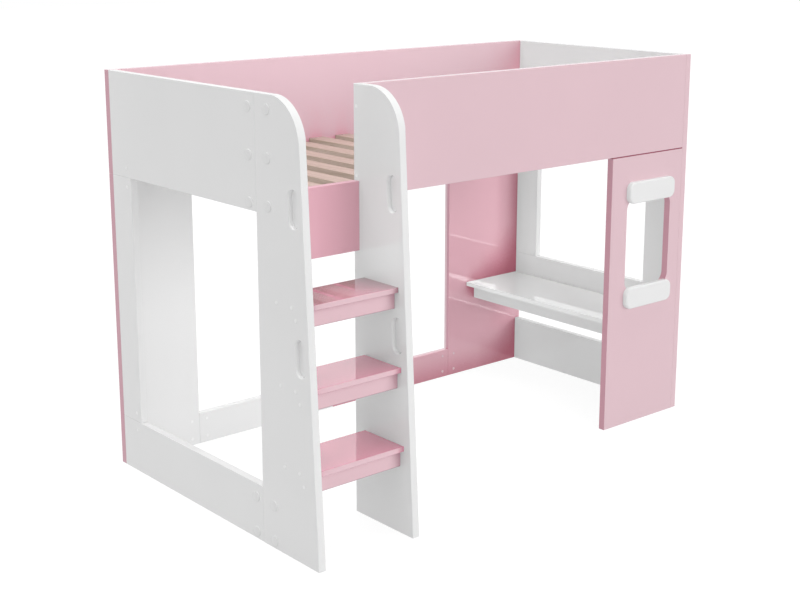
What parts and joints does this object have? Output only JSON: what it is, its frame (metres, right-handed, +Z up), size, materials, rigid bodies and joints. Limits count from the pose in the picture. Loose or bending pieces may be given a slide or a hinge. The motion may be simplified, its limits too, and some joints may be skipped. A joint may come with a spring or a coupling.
{
  "type": "cabin bed",
  "caption": "Raised child's bed of eased lacquered boards with guards all round, a ladder of boxed treads in a bay at one front corner and a low desk across the other end.",
  "frame": {"origin": "on the floor, under the middle of the bed's bounding box", "axes": "+X along the bed from the ladder's end to the desk's end, +Y from the ladder's side to the back, +Z up"},
  "size_m": [2.105, 1.2368, 1.488],
  "materials": {
    "white_board": "white semi-gloss lacquer on board",
    "pink_board": "pale pink semi-gloss lacquer on board",
    "pine": "planed, clear sealed",
    "beech": "turned, raw",
    "zinc_steel": "zinc plated",
    "white_cap": "matt"
  },
  "bodies": {
    "root": {"left_upper_panel": "white_board", "left_lower_rail": "white_board", "left_back_post": "white_board", "ladder_stringer_left": "white_board", "ladder_stringer_right": "white_board", "window_bar_upper": "white_board", "window_bar_lower": "white_board", "right_front_post": "white_board", "right_upper_panel": "white_board", "right_back_post": "white_board", "right_mid_rail": "white_board", "right_lower_rail": "white_board", "back_left_post": "white_board", "back_rail_left": "white_board", "desk_top": "white_board", "desk_apron": "white_board", "ladder_bay_rail": "pink_board", "tread_lower": "pink_board", "tread_middle": "pink_board", "tread_upper": "pink_board", "riser_lower": "pink_board", "riser_middle": "pink_board", "riser_upper": "pink_board", "front_guard": "pink_board", "desk_side_panel": "pink_board", "back_guard": "pink_board", "back_right_post": "pink_board", "back_rail_right": "pink_board", "desk_cleat_end": "pine", "desk_cleat_back": "pine", "desk_cleat_front": "pine", "slat_ledger_front": "pine", "slat_ledger_back": "pine", "slat_01": "pine", "slat_02": "pine", "slat_03": "pine", "slat_04": "pine", "slat_05": "pine", "slat_06": "pine", "slat_07": "pine", "slat_08": "pine", "slat_09": "pine", "slat_10": "pine", "slat_11": "pine", "slat_12": "pine", "slat_13": "pine", "slat_14": "pine", "slat_15": "pine", "connector_bolts": "zinc_steel", "connector_nuts": "zinc_steel", "connector_saddles": "zinc_steel", "cam_barrels": "zinc_steel", "cam_bolts": "zinc_steel", "board_screws": "zinc_steel", "wood_screws": "zinc_steel", "connector_cover_caps": "white_cap", "screw_cover_caps": "white_cap", "dowels": "beech"}
  },
  "joints": []
}
